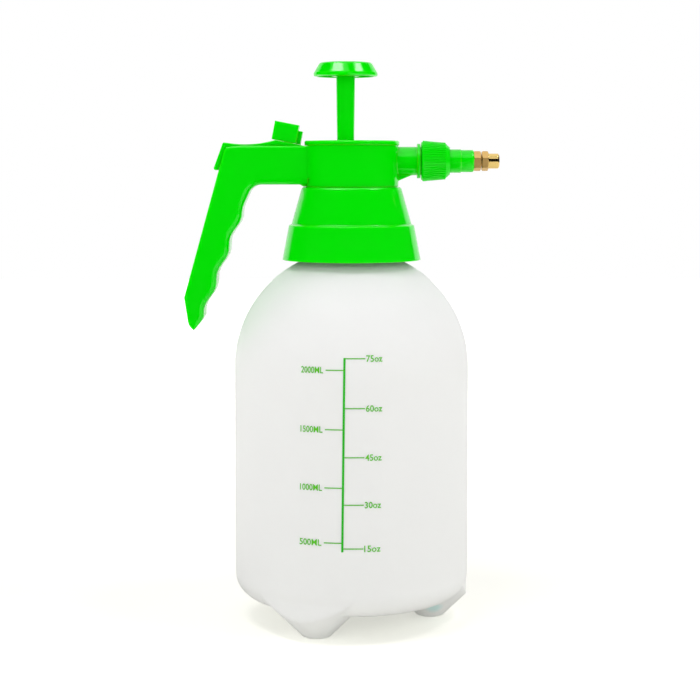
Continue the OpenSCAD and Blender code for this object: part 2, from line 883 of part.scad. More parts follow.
module piston_screw() {
    color("Silver")
        translate([pump_x, 0, piston_z]) {
            cylinder(r = 3, h = 2, $fn = 36);
            cylinder(r = 1.5, h = piston_h + 2, $fn = 36);
        }
}

module pump_rod() {
    color("LimeGreen")
        translate([pump_x, 0, 0])
            difference() {
                union() {
                    translate([0, 0, piston_top])
                        cylinder(d1 = rod_end_d, d2 = rod_top_d, h = knob_z + rod_socket - piston_top);
                    translate([0, 0, piston_top - spigot_h + 0.3])
                        cylinder(r = spigot_r - 0.02, h = spigot_h);
                }
                translate([0, 0, piston_top - spigot_h])
                    cylinder(r = 1.55, h = pilot_l, $fn = 36);
            }
}

module pump_knob() {
    socket_r = rod_top_d / 2 + 0.05;
    color("LimeGreen")
        translate([pump_x, 0, knob_z])
            difference() {
                rotate_extrude($fn = 120)
                    knob_profile(0);
                difference() {
                    translate([0, 0, -sink])
                        rotate_extrude($fn = 120)
                            knob_profile(knob_skin);
                    cylinder(r = socket_r + 2, h = knob_h);
                    for (a = [0 : 60 : 300])
                        rotate([0, 0, a])
                            translate([0, -0.8, 1])
                                cube([knob_bottom_d / 2, 1.6, knob_h]);
                }
                translate([0, 0, -sink])
                    cylinder(r = socket_r, h = rod_socket + sink);
            }
}

// Half profile of the knob with rounded edges, inset by t.
module knob_profile(t) {
    low = knob_bottom_d / 2 - t;
    high = knob_top_d / 2 - t;
    polygon([
        [0, 0],
        [low - 0.7, 0],
        [low - 0.2, 0.25],
        [low, 0.8],
        [low, 2],
        [high + 0.45, knob_h - t - 1.4],
        [high, knob_h - t - 0.7],
        [high - 0.6, knob_h - t - 0.2],
        [high - 1.6, knob_h - t],
        [0, knob_h - t],
    ]);
}

// Top of the lever's thumb hollow at x.
function hollow_z(x) =
    arm_top + hollow_rise + hollow_r - sqrt(pow(hollow_r, 2) - pow(x - hollow_x, 2));

// Side outline of the lever's plate with the hook over the handle's back.
module lever_outline() {
    plate_x = lever_back + hook_t;
    hook_z = arm_top + 2 - hook_l;
    end_x = crest_x + ramp_l * cos(ramp_lean);
    end_z = crest_z - ramp_l * sin(ramp_lean);
    drop = lever_t / cos(ramp_lean);
    flat_x = crest_x + max(0, crest_h - drop) / tan(ramp_lean);
    corner = 1.2;
    bottom_x = lever_back - (hook_l - 2 - corner) * hook_slope;
    difference() {
        polygon([
            [plate_x, crest_z],
            [crest_x, crest_z],
            [end_x, end_z],
            [end_x, end_z - drop],
            [flat_x, arm_top],
            [crest_x - hump_l / 2, arm_top],
            [crest_x - hump_l, lever_under],
            [plate_x, lever_under],
        ]);
        translate([hollow_x, arm_top + hollow_rise + hollow_r])
            circle(r = hollow_r, $fn = 180);
    }
    polygon([
        [plate_x + sink, hollow_z(plate_x + sink)],
        [plate_x, hollow_z(plate_x)],
        [lever_back + corner, hollow_z(lever_back + corner) - 0.15],
        [lever_back + corner * 0.3, arm_top + corner],
        [lever_back, arm_top],
        [bottom_x, hook_z + corner],
        [bottom_x + corner * 0.3, hook_z + corner * 0.3],
        [bottom_x + corner, hook_z],
        [lever_back - hook_l * back_slope + hook_t - corner / 2, hook_z],
        [lever_back - hook_l * back_slope + hook_t, hook_z + corner],
        [plate_x + sink, lever_under],
    ]);
}

module trigger_lever() {
    stop_t = 2.5;
    stop_z = head_top - play - stop_t;
    stop_x = crest_x + ramp_l * cos(ramp_lean) - 2;
    color("LimeGreen")
        difference() {
            union() {
                slab(lever_w)
                    lever_outline();
                for (side = [-1, 1])
                    translate([0, side * (lever_w - cheek_t) / 2, 0])
                        slab(cheek_t)
                            union() {
                                translate([pivot_x, pivot_z])
                                    circle(r = pin_d / 2 + 2.4);
                                translate([pivot_x - 2, pivot_z])
                                    square([cheek_l, lever_under - pivot_z + sink]);
                            }
                slab(leg_w)
                    polygon([
                        [pivot_x - leg_l / 2, valve_z - leg_reach],
                        [pivot_x + leg_l / 2, valve_z - leg_reach],
                        [pivot_x + leg_l, lever_under + sink],
                        [pivot_x - leg_l, lever_under + sink],
                    ]);
                for (side = [-1, 1])
                    translate([stop_x, side * (lever_w / 2 - 1.5) - 1.5, stop_z])
                        cube([-head_bore - 0.3 - stop_x, 3, stop_t]);
            }
            on_ramp()
                translate([lock_neck_u - lock_travel - play, -lock_neck_w / 2 - play, -lever_t * 3])
                    cube([lock_neck_l + lock_travel + 2 * play, lock_neck_w + 2 * play, lever_t * 4]);
            translate([pivot_x, lever_w, pivot_z])
                rotate([90, 0, 0])
                    cylinder(r = pin_d / 2 + pin_play, h = 2 * lever_w, $fn = 36);
        }
}

module trigger_pin() {
    color("Silver")
        translate([pivot_x, pin_l / 2, pivot_z])
            rotate([90, 0, 0])
                cylinder(d = pin_d, h = pin_l, $fn = 36);
}

module lock_slide() {
    color("LimeGreen")
        on_ramp() {
            translate([0, -lock_w / 2, 0.15])
                cube([lock_l, lock_w, lock_h]);
            translate([lock_l - sink, -tongue_w / 2, 0.15])
                cube([tongue_l + sink, tongue_w, tongue_h]);
            translate([lock_neck_u, -lock_neck_w / 2, -lock_foot_v - sink])
                cube([lock_neck_l, lock_neck_w, lock_foot_v + 2 * sink]);
            translate([lock_foot_u, -lever_w / 2 + 0.7, -lock_foot_v - lock_foot_t])
                cube([lock_foot_l, lever_w - 1.4, lock_foot_t]);
        }
}

module pull_bar() {
    strip_w = 5;
    color("Silver") {
        translate([0, 0, valve_z - bar_t / 2])
            linear_extrude(height = bar_t)
                difference() {
                    union() {
                        translate([pivot_x - 3.6, -strip_w / 2])
                            square([pump_x - pivot_x + 3.6, strip_w]);
                        translate([pump_x, 0])
                            circle(r = eye_r + eye_rim);
                        translate([pump_x, -tab_w / 2])
                            square([tab_x + tab_t - pump_x, tab_w]);
                    }
                    translate([pivot_x - leg_l / 2 - leg_play, -leg_w / 2 - play])
                        square([leg_l + 2 * leg_play, leg_w + 2 * play]);
                    translate([pump_x, 0])
                        circle(r = eye_r);
                    translate([pump_x + needle_travel, 0])
                        circle(r = eye_r);
                    translate([head_x - 0.2, -needle_r - 1.2])
                        square([tab_x - sink - head_x + 0.2, 2 * needle_r + 2.4]);
                    translate([head_x, -needle_r - pin_play])
                        square([tab_t + 3 * sink + 2, 2 * needle_r + 2 * pin_play]);
                }
        translate([tab_x - sink, 0, valve_z])
            rotate([0, 90, 0])
                difference() {
                    translate([-tab_h / 2, -tab_w / 2, 0])
                        cube([tab_h, tab_w, tab_t + sink]);
                    translate([0, 0, -sink])
                        cylinder(r = needle_r + pin_play, h = tab_t + 3 * sink, $fn = 36);
                }
    }
}

module valve_needle() {
    color("Goldenrod") {
        rod_x(head_x, tab_x - sink - head_x, needle_r + 1, valve_z);
        rod_x(tab_x - 2 * sink, poppet_x - tab_x + 3 * sink, needle_r, valve_z);
        rod_x(poppet_x, poppet_t, chamber_r - 0.6, valve_z);
    }
}

module needle_seal() {
    color("DimGray")
        rod_x(poppet_x + poppet_t, needle_seal_t, chamber_r - 0.6, valve_z);
}

// Turns of the closing spring, as a wire swept along a helix.
module valve_spring() {
    wire = 0.3;
    turns = 5;
    steps = 14;
    sides = 8;
    coil_r = chamber_r - 0.75;
    n = turns * steps;
    pitch = (spring_l - 2 * wire - 0.1) / n;
    color("Silver")
        polyhedron(
            points = [for (i = [0 : n]) for (j = [0 : sides - 1])
                let (a = 360 / steps * i, b = 360 / sides * j, r = coil_r + wire * cos(b))
                [spring_x + wire + 0.05 + pitch * i + wire * sin(b), r * cos(a), valve_z + r * sin(a)]],
            faces = concat(
                [[for (j = [0 : sides - 1]) j]],
                [for (i = [0 : n - 1]) for (j = [0 : sides - 1])
                    [i * sides + j, (i + 1) * sides + j, i * sides + (j + 1) % sides]],
                [for (i = [0 : n - 1]) for (j = [0 : sides - 1])
                    [(i + 1) * sides + j, (i + 1) * sides + (j + 1) % sides, i * sides + (j + 1) % sides]],
                [[for (j = [sides - 1 : -1 : 0]) n * sides + j]]));
}

module valve_gland() {
    color("Goldenrod")
        difference() {
            rod_x(boss_x, gland_l, chamber_r, valve_z);
            rod_x(boss_x - sink, gland_l + 2 * sink, needle_r + pin_play, valve_z);
            rod_x(boss_x + 1.2, 1.4, needle_r + 1.1, valve_z);
        }
}

module gland_ring() {
    color("DimGray")
        translate([boss_x + 1.9, 0, valve_z])
            rotate([0, 90, 0])
                cord_ring(needle_r + 0.58, 0.5, 0);
}

// Carries a piece to the start of the dip tube's slanting stretch.
module on_slant() {
    translate([nipple_reach, 0, 0])
        rotate([0, 0, atan2(dip_run_y, dip_run_x)])
            translate([dip_bend - dip_bend * cos(dip_lean), 0, dip_bend_z - dip_bend * sin(dip_lean)])
                rotate([0, 180 - dip_lean, 0])
                    children();
}

// Centres and leans along the dip tube: down from the nipple, round the bend, then slanting to a foot.
dip_steps = 8;
dip_sides = 24;
dip_route = concat(
    [[0, dip_top, 0]],
    [for (i = [0 : dip_steps])
        let (a = dip_lean * i / dip_steps)
        [dip_bend * (1 - cos(a)), dip_bend_z - dip_bend * sin(a), a]],
    [let (l = dip_slant - strainer_l + strainer_cup)
        [dip_bend * (1 - cos(dip_lean)) + l * sin(dip_lean),
         dip_bend_z - dip_bend * sin(dip_lean) - l * cos(dip_lean), dip_lean]]
);

// Ring of points round one place of the route, at radius r.
function dip_ring(p, r) =
    [for (j = [0 : dip_sides - 1])
        let (b = 360 / dip_sides * j)
        [p[0] + r * cos(b) * cos(p[2]), r * sin(b), p[1] + r * cos(b) * sin(p[2])]];

module dip_tube() {
    m = len(dip_route);
    n = dip_sides;
    inner = m * n;
    color("WhiteSmoke")
        translate([nipple_reach, 0, 0])
            rotate([0, 0, atan2(dip_run_y, dip_run_x)])
                polyhedron(
                    points = concat(
                        [for (p = dip_route) for (q = dip_ring(p, dip_r)) q],
                        [for (p = dip_route) for (q = dip_ring(p, dip_r - dip_wall)) q]),
                    faces = concat(
                        [for (k = [0 : m - 2]) for (j = [0 : n - 1]) let (j2 = (j + 1) % n)
                            [k * n + j, k * n + j2, (k + 1) * n + j2, (k + 1) * n + j]],
                        [for (k = [0 : m - 2]) for (j = [0 : n - 1]) let (j2 = (j + 1) % n)
                            [inner + k * n + j, inner + (k + 1) * n + j,
                             inner + (k + 1) * n + j2, inner + k * n + j2]],
                        [for (j = [0 : n - 1]) let (j2 = (j + 1) % n)
                            [j, inner + j, inner + j2, j2]],
                        [for (j = [0 : n - 1]) let (j2 = (j + 1) % n, e = (m - 1) * n)
                            [e + j, e + j2, inner + e + j2, inner + e + j]]));
}

module strainer() {
    slots = 6;
    color("LightSeaGreen")
        on_slant()
            translate([0, 0, dip_slant - strainer_l])
                difference() {
                    cylinder(r = strainer_r, h = strainer_l);
                    translate([0, 0, -sink])
                        cylinder(r = dip_r + 0.02, h = strainer_cup + sink);
                    cylinder(r = dip_r - dip_wall, h = strainer_l - 1.4);
                    for (i = [0 : slots - 1])
                        rotate([0, 0, 360 / slots * i])
                            translate([0, -0.7, strainer_cup + 1.4])
                                cube([strainer_r + sink, 1.4, strainer_l - strainer_cup - 3]);
                }
}

module outlet_nut() {
    back_r = nut_back_d / 2;
    front_r = nut_front_d / 2;
    rib_w = 0.75;
    rib_h = 0.5;
    body_r = back_r - rib_h;
    rib_lean = atan((back_r - front_r) / (nut_l - 3.2));
    rib_l = (nut_l - 3.2) / cos(rib_lean);
    color("LimeGreen")
        translate([nut_x, 0, nozzle_z])
            rotate([0, 90, 0])
                difference() {
                    union() {
                        rotate_extrude()
                            polygon([
                                [0, 0],
                                [body_r - 0.6, 0],
                                [body_r, 0.8],
                                [front_r - rib_h, nut_l - 2.4],
                                [front_r - 1.6, nut_l - 1.2],
                                [tube_r + 1.2, nut_l],
                                [0, nut_l],
                            ]);
                        for (i = [0 : nut_ribs - 1])
                            rotate([0, 0, 360 / nut_ribs * i])
                                translate([body_r, 0, 0.8])
                                    rotate([0, -rib_lean, 0])
                                        translate([-rib_h, -rib_w / 2, 0.2])
                                            cube([2 * rib_h, rib_w, rib_l - 0.4]);
                    }
                    translate([0, 0, -sink])
                        cylinder(r = spout_r + play, h = nut_l - nut_wall + sink);
                    cylinder(r = tube_r + 0.2, h = nut_l + sink);
                }
}

module outlet_washer() {
    color("DimGray")
        difference() {
            rod_x(spout_end, washer_t, spout_r - thread_step - 0.2, nozzle_z);
            rod_x(spout_end - sink, washer_t + 2 * sink, tube_bore + 0.6, nozzle_z);
        }
}

module nozzle_tube() {
    color("LimeGreen")
        difference() {
            union() {
                rod_x(rim_x, rim_t, spout_r, nozzle_z);
                rod_x(rim_x, nut_front + tube_step - rim_x, tube_r, nozzle_z);
                rod_x(rim_x, tube_end - rim_x - 0.6, tube_front_d / 2, nozzle_z);
                translate([tube_end - 0.6, 0, nozzle_z])
                    rotate([0, 90, 0])
                        cylinder(d1 = tube_front_d, d2 = tube_front_d - 1.2, h = 0.6);
            }
            rod_x(rim_x - sink, tube_end - rim_x + 2 * sink, tube_bore, nozzle_z);
            rod_x(tube_end - shank_l - 0.3, shank_l + 0.3 + sink, shank_r, nozzle_z);
        }
}

// Hexagon along +X with its outer corners turned off by a cone.
module hex_x(x, l, d) {
    translate([x, 0, nozzle_z])
        rotate([0, 90, 0])
            intersection() {
                rotate([0, 0, 12])
                    cylinder(d = d, h = l, $fn = 6);
                rotate_extrude()
                    polygon([
                        [0, 0],
                        [d * 0.45, 0],
                        [d * 0.55, l * 0.24],
                        [d * 0.55, l * 0.76],
                        [d * 0.45, l],
                        [0, l],
                    ]);
            }
}

module nozzle_base() {
    color("Goldenrod")
        difference() {
            union() {
                rod_x(tube_end - shank_l, shank_l + sink, shank_r, nozzle_z);
                hex_x(tube_end, hex_base_l, hex_d);
                rod_x(base_end - sink, stud_l + sink, stud_r, nozzle_z);
            }
            rod_x(tube_end - shank_l - sink, tip_front - tube_end, 1.4, nozzle_z);
            rod_x(base_end + stud_l - 4, 4 + sink, 2, nozzle_z);
        }
}

module swirl_core() {
    core_r = 1.95;
    core_l = 4.6;
    x = base_end + stud_l - 4;
    color("Silver")
        difference() {
            rod_x(x, core_l, core_r, nozzle_z);
            for (a = [0, 90])
                translate([x - sink, 0, nozzle_z])
                    rotate([a, 0, 0])
                        translate([0, core_r - 0.6, -0.4])
                            cube([core_l + 2 * sink, 1, 0.8]);
        }
}

module tip_ring() {
    color("DimGray")
        translate([ring_x, 0, nozzle_z])
            rotate([0, 90, 0])
                cord_ring(stud_r + pin_play + tip_cord, tip_cord, 0);
}

module nozzle_tip() {
    color("Goldenrod")
        difference() {
            union() {
                hex_x(tip_x, hex_tip_l, hex_d);
                rod_x(tip_x + hex_tip_l - sink, tip_l + sink - 0.7, tip_d / 2, nozzle_z);
                translate([tip_front - 0.7, 0, nozzle_z])
                    rotate([0, 90, 0])
                        cylinder(d1 = tip_d, d2 = tip_d - 1.4, h = 0.7);
            }
            rod_x(tip_x - sink, tip_bore_l + sink, tip_bore, nozzle_z);
            rod_x(ring_x - tip_cord - 0.1, 2 * tip_cord + 0.2, stud_r + 2 * tip_cord + 0.1, nozzle_z);
            rod_x(tip_x, tip_front - tip_x + sink, 0.5, nozzle_z);
            translate([tip_front - 0.8, 0, nozzle_z])
                rotate([0, 90, 0])
                    cylinder(r1 = 0.5, r2 = 1.6, h = 0.8 + 0.01);
        }
}

bottle();
neck_gasket();
screw_collar();
head_housing();
head_lid();
pump_cylinder();
barrel_seal();
check_valve();
piston();
piston_cup();
piston_screw();
pump_rod();
pump_knob();
trigger_lever();
trigger_pin();
lock_slide();
pull_bar();
valve_needle();
needle_seal();
valve_spring();
valve_gland();
gland_ring();
dip_tube();
strainer();
outlet_nut();
outlet_washer();
nozzle_tube();
nozzle_base();
swirl_core();
tip_ring();
nozzle_tip();
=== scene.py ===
"""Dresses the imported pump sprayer.

It adds moulded finishes, the printed volume scale, screw threads and a plain studio.
"""

from __future__ import annotations

import logging
import math
from dataclasses import dataclass, field
from enum import Enum
from typing import Callable, ClassVar, Sequence

import bpy
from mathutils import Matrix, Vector


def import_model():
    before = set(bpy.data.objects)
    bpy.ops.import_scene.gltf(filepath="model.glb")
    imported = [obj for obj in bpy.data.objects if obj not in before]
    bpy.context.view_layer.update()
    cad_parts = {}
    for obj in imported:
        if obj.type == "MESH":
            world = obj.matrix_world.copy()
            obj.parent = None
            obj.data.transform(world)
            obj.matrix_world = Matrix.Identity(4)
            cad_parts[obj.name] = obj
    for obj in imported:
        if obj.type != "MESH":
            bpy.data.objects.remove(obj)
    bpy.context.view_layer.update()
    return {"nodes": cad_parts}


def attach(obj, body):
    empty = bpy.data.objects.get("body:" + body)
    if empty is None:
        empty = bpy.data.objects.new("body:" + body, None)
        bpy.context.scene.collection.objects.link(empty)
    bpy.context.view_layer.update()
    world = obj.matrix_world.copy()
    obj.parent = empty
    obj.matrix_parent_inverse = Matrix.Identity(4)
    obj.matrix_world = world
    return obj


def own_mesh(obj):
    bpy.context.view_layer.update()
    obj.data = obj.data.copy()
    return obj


LOG = logging.getLogger("pump_sprayer")
MM = 0.001
SPRAY_HEIGHT = 275.572  # of the spray axis above the floor, in millimetres
Colour = tuple[float, float, float]
Point = tuple[float, float, float]
Span = tuple[float, float]
Nodes = dict[str, bpy.types.Object]
Socket = bpy.types.NodeSocket
Faces = list[tuple[int, ...]]


class Body(Enum):
    """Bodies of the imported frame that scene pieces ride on."""

    BOTTLE = "bottle"
    HEAD = "head"
    COLLAR = "collar"
    NOZZLE = "nozzle"
    NUT = "nut"


class Slot(Enum):
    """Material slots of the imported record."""

    CLEAR_WHITE = "clear_white"
    GREEN = "green"
    BRASS = "brass"


class Along(Enum):
    """Axis that a screw thread winds about."""

    UP = "z"
    SPRAY = "x"


def placed(name: str, data: bpy.types.ID) -> bpy.types.Object:
    """Makes an object and links it to the scene.

    Args:
        name: Name of the object.
        data: Its mesh, curve, lamp or camera.

    Returns:
        The new object.
    """
    result = bpy.data.objects.new(name, data)
    bpy.context.scene.collection.objects.link(result)
    return result


def map_range(tree: bpy.types.NodeTree, source: Socket, given: Span, wanted: Span) -> bpy.types.Node:
    """Adds a node that maps a value and holds it at both ends.

    Args:
        tree: Node tree that gets it.
        source: Value to map.
        given: First and last value of the source.
        wanted: Results there.

    Returns:
        The node.
    """
    node = tree.nodes.new("ShaderNodeMapRange")
    for name, value in zip(("From Min", "From Max", "To Min", "To Max"), (*given, *wanted)):
        node.inputs[name].default_value = value
    tree.links.new(source, node.inputs["Value"])
    return node


class Recipe:
    """Node tree of one finish, with short calls that add and join its nodes."""

    EDGE_SAMPLES = 6
    EDGE_COSINES = (0.8, 0.99)
    MIX_FACTOR, MIX_FIRST, MIX_SECOND, MIX_RESULT = 0, 6, 7, 2

    def __init__(self, name: str) -> None:
        """Starts an empty material that ends in one Principled shader.

        Args:
            name: Name of the material.
        """
        self.material = bpy.data.materials.new(name)
        self.material.use_nodes = True
        self.tree = self.material.node_tree
        self.tree.nodes.clear()
        self.shader = self.tree.nodes.new("ShaderNodeBsdfPrincipled")
        output = self.tree.nodes.new("ShaderNodeOutputMaterial")
        self.join(self.shader.outputs["BSDF"], output.inputs["Surface"])
        self.place = self.tree.nodes.new("ShaderNodeTexCoord").outputs["Object"]

    def join(self, source: Socket, target: Socket) -> None:
        """Links one socket to another."""
        self.tree.links.new(source, target)

    def set(self, **values: float | Sequence[float]) -> None:
        """Sets constant sockets of the shader, named with underscores for spaces."""
        for name, value in values.items():
            self.shader.inputs[name.replace("_", " ")].default_value = value

    def feed(self, socket: str, source: Socket) -> None:
        """Links a socket of the shader."""
        self.join(source, self.shader.inputs[socket])

    def noise(self, scale: float, detail: float = 3.0,
              stretch: Point = (1.0, 1.0, 1.0)) -> Socket:
        """Adds a noise that moves with the piece.

        Args:
            scale: Waves per metre.
            detail: Octaves of the noise.
            stretch: Scale along X, Y and Z.

        Returns:
            The noise's value, from 0 to 1.
        """
        mapping = self.tree.nodes.new("ShaderNodeMapping")
        mapping.inputs["Scale"].default_value = stretch
        self.join(self.place, mapping.inputs["Vector"])
        noise = self.tree.nodes.new("ShaderNodeTexNoise")
        noise.inputs["Scale"].default_value = scale
        noise.inputs["Detail"].default_value = detail
        self.join(mapping.outputs["Vector"], noise.inputs["Vector"])
        return noise.outputs["Fac"]

    def spread(self, source: Socket, low: float, high: float,
               start: float = 0.3, end: float = 0.7) -> Socket:
        """Maps a value from start..end to low..high, held at both ends."""
        return map_range(self.tree, source, (start, end), (low, high)).outputs["Result"]

    def tint(self, factor: Socket, first: Colour | Socket, second: Colour) -> Socket:
        """Mixes two colours.

        Args:
            factor: Share of the second colour.
            first: Colour, or the socket of an earlier mix.
            second: Colour at factor 1.

        Returns:
            The mixed colour.
        """
        node = self.tree.nodes.new("ShaderNodeMix")
        node.data_type = "RGBA"
        self.join(factor, node.inputs[self.MIX_FACTOR])
        if isinstance(first, tuple):
            node.inputs[self.MIX_FIRST].default_value = (*first, 1.0)
        else:
            self.join(first, node.inputs[self.MIX_FIRST])
        node.inputs[self.MIX_SECOND].default_value = (*second, 1.0)
        return node.outputs[self.MIX_RESULT]

    def edge(self, radius: float) -> tuple[Socket, Socket]:
        """Rounds the shading of sharp edges.

        Args:
            radius: Rounding in metres.

        Returns:
            The rounded normal, and how much a place belongs to an edge, from 0 to 1.
        """
        bevel = self.tree.nodes.new("ShaderNodeBevel")
        bevel.samples = self.EDGE_SAMPLES
        bevel.inputs["Radius"].default_value = radius
        plain = self.tree.nodes.new("ShaderNodeNewGeometry")
        dot = self.tree.nodes.new("ShaderNodeVectorMath")
        dot.operation = "DOT_PRODUCT"
        self.join(bevel.outputs["Normal"], dot.inputs[0])
        self.join(plain.outputs["Normal"], dot.inputs[1])
        return bevel.outputs["Normal"], self.spread(dot.outputs["Value"], 1.0, 0.0, *self.EDGE_COSINES)

    def relief(self, height: Socket, depth: float, normal: Socket | None = None) -> Socket:
        """Turns a height into a bumped normal.

        Args:
            height: Height from 0 to 1.
            depth: Height of the relief in metres.
            normal: Normal to start from.

        Returns:
            The bumped normal.
        """
        bump = self.tree.nodes.new("ShaderNodeBump")
        bump.inputs["Strength"].default_value = 1.0
        bump.inputs["Distance"].default_value = depth
        self.join(height, bump.inputs["Height"])
        if normal is not None:
            self.join(normal, bump.inputs["Normal"])
        return bump.outputs["Normal"]

    def distance(self, point: Point) -> Socket:
        """Gives the distance from a point of the piece, in metres.

        Args:
            point: The point.

        Returns:
            The distance.
        """
        node = self.tree.nodes.new("ShaderNodeVectorMath")
        node.operation = "DISTANCE"
        node.inputs[1].default_value = point
        self.join(self.place, node.inputs[0])
        return node.outputs["Value"]

    def position(self, axis: str) -> Socket:
        """Gives one coordinate of the piece, in metres.

        Args:
            axis: X, Y or Z.

        Returns:
            The coordinate.
        """
        split = self.tree.nodes.new("ShaderNodeSeparateXYZ")
        self.join(self.place, split.inputs["Vector"])
        return split.outputs[axis]


def shaded(colour: Colour, share: float) -> Colour:
    """Darkens a colour to a share of itself."""
    red, green, blue = colour
    return red * share, green * share, blue * share


@dataclass(frozen=True)
class Moulded:
    """Injection moulded plastic with clouding, a fine grain and a painted highlight along its edges."""

    name: str
    colour: Colour
    cloud: Colour
    # rim: colour of the painted edge highlight, laid where the edge shading rounds off
    rim: Colour
    gloss: Span = (0.24, 0.34)
    grain: float = 0.000003
    edge: float = 0.001
    depth: float = 0.0
    bleed: Colour = (0.3, 1.0, 0.3)
    sheen: float = 0.5
    ior: float = 1.49
    cloud_waves: float = 32.0
    gloss_waves: float = 160.0
    grain_waves: float = 1500.0

    def make(self) -> bpy.types.Material:
        """Builds the material.

        Returns:
            The material.
        """
        recipe = Recipe(self.name)
        if self.depth:
            recipe.set(Subsurface_Weight=1.0, Subsurface_Radius=self.bleed, Subsurface_Scale=self.depth)
        recipe.set(IOR=self.ior, Specular_IOR_Level=self.sheen)
        normal, rim = recipe.edge(self.edge)
        cloud = recipe.spread(recipe.noise(self.cloud_waves), 0.0, 1.0)
        body = recipe.tint(cloud, self.colour, self.cloud)
        # paints a highlight in the rim colour along the edges
        recipe.feed("Base Color", recipe.tint(rim, body, self.rim))
        recipe.feed("Roughness", recipe.spread(recipe.noise(self.gloss_waves), *self.gloss))
        grain = recipe.noise(self.grain_waves, detail=2.0)
        recipe.feed("Normal", recipe.relief(grain, self.grain, normal))
        return recipe.material


@dataclass(frozen=True)
class Blown:
    """Blow moulded, milky plastic that lets some light through.

    A piece close behind the wall may show faintly, as the strainer does in the bottle's foot.
    """

    name: str
    colour: Colour
    cloud: Colour
    clear: float
    depth: float = 0.0
    gloss: Span = (0.36, 0.46)
    sheen: float = 0.5
    ior: float = 1.45
    bleed: Colour = (1.0, 1.0, 1.0)
    ripple: float = 0.00006
    edge: float = 0.0003
    behind: Colour | None = None
    behind_at: Point = (0.0495, -0.011, 0.0085)
    behind_reach: Span = (0.0025, 0.0065)
    cloud_waves: float = 14.0
    cloud_stretch: Point = (1.0, 1.0, 0.5)
    gloss_waves: float = 60.0
    ripple_waves: float = 55.0

    def make(self) -> bpy.types.Material:
        """Builds the material.

        Returns:
            The material.
        """
        recipe = Recipe(self.name)
        recipe.set(Transmission_Weight=self.clear, IOR=self.ior, Specular_IOR_Level=self.sheen)
        if self.depth:
            recipe.set(Subsurface_Weight=1.0, Subsurface_Radius=self.bleed, Subsurface_Scale=self.depth)
        clouds = recipe.noise(self.cloud_waves, detail=2.0, stretch=self.cloud_stretch)
        cloud = recipe.spread(clouds, 0.0, 1.0)
        colour = recipe.tint(cloud, self.colour, self.cloud)
        if self.behind:
            shade = recipe.spread(recipe.distance(self.behind_at), 1.0, 0.0, *self.behind_reach)
            colour = recipe.tint(shade, colour, self.behind)
        recipe.feed("Base Color", colour)
        recipe.feed("Roughness", recipe.spread(recipe.noise(self.gloss_waves), *self.gloss))
        normal, _ = recipe.edge(self.edge)
        ripple = recipe.noise(self.ripple_waves, detail=2.0)
        recipe.feed("Normal", recipe.relief(ripple, self.ripple, normal))
        return recipe.material


@dataclass(frozen=True)
class Turned:
    """Turned metal with fine tool rings along the spray axis."""

    name: str
    colour: Colour
    dull: Colour
    bright_from: float
    bright_step: float = 0.0002
    gloss: Span = (0.34, 0.1)
    edge: float = 0.0003
    stain_waves: float = 420.0
    stain_most: float = 0.35
    stain_shade: float = 0.6
    ring_waves: float = 5200.0
    ring_stretch: Point = (1.0, 0.02, 0.02)
    ring_depth: float = 0.000004

    def make(self) -> bpy.types.Material:
        """Builds the material, with the stretch ahead of bright_from polished.

        Returns:
            The material.
        """
        recipe = Recipe(self.name)
        recipe.set(Metallic=1.0)
        step = (self.bright_from - self.bright_step, self.bright_from)
        polish = recipe.spread(recipe.position("X"), 0.0, 1.0, *step)
        stain = recipe.spread(recipe.noise(self.stain_waves), 0.0, self.stain_most)
        worn = recipe.tint(stain, self.dull, shaded(self.dull, self.stain_shade))
        recipe.feed("Base Color", recipe.tint(polish, worn, self.colour))
        recipe.feed("Roughness", recipe.spread(polish, *self.gloss, 0.0, 1.0))
        normal, _ = recipe.edge(self.edge)
        rings = recipe.noise(self.ring_waves, detail=1.0, stretch=self.ring_stretch)
        recipe.feed("Normal", recipe.relief(rings, self.ring_depth, normal))
        return recipe.material


@dataclass(frozen=True)
class Steel:
    """Drawn steel with fine lengthwise lines."""

    name: str
    colour: Colour = (0.56, 0.57, 0.58)
    gloss: Span = (0.2, 0.36)
    shade: float = 0.8
    shade_waves: float = 300.0
    gloss_waves: float = 900.0
    line_waves: float = 2600.0
    line_stretch: Point = (0.04, 1.0, 1.0)
    line_depth: float = 0.000008

    def make(self) -> bpy.types.Material:
        """Builds the material.

        Returns:
            The material.
        """
        recipe = Recipe(self.name)
        recipe.set(Metallic=1.0)
        shade = recipe.spread(recipe.noise(self.shade_waves), 0.0, 1.0)
        recipe.feed("Base Color", recipe.tint(shade, self.colour, shaded(self.colour, self.shade)))
        recipe.feed("Roughness", recipe.spread(recipe.noise(self.gloss_waves), *self.gloss))
        lines = recipe.noise(self.line_waves, detail=1.0, stretch=self.line_stretch)
        recipe.feed("Normal", recipe.relief(lines, self.line_depth))
        return recipe.material


@dataclass(frozen=True)
class Rubber:
    """Black seal rubber."""

    name: str
    colour: Colour = (0.016, 0.016, 0.017)
    bloom: Colour = (0.035, 0.035, 0.036)
    gloss: Span = (0.55, 0.75)
    bloom_waves: float = 220.0
    gloss_waves: float = 500.0
    grain_waves: float = 2200.0
    grain: float = 0.00002

    def make(self) -> bpy.types.Material:
        """Builds the material.

        Returns:
            The material.
        """
        recipe = Recipe(self.name)
        bloom = recipe.spread(recipe.noise(self.bloom_waves), 0.0, 1.0)
        recipe.feed("Base Color", recipe.tint(bloom, self.colour, self.bloom))
        recipe.feed("Roughness", recipe.spread(recipe.noise(self.gloss_waves), *self.gloss))
        grain = recipe.noise(self.grain_waves, detail=2.0)
        recipe.feed("Normal", recipe.relief(grain, self.grain))
        return recipe.material


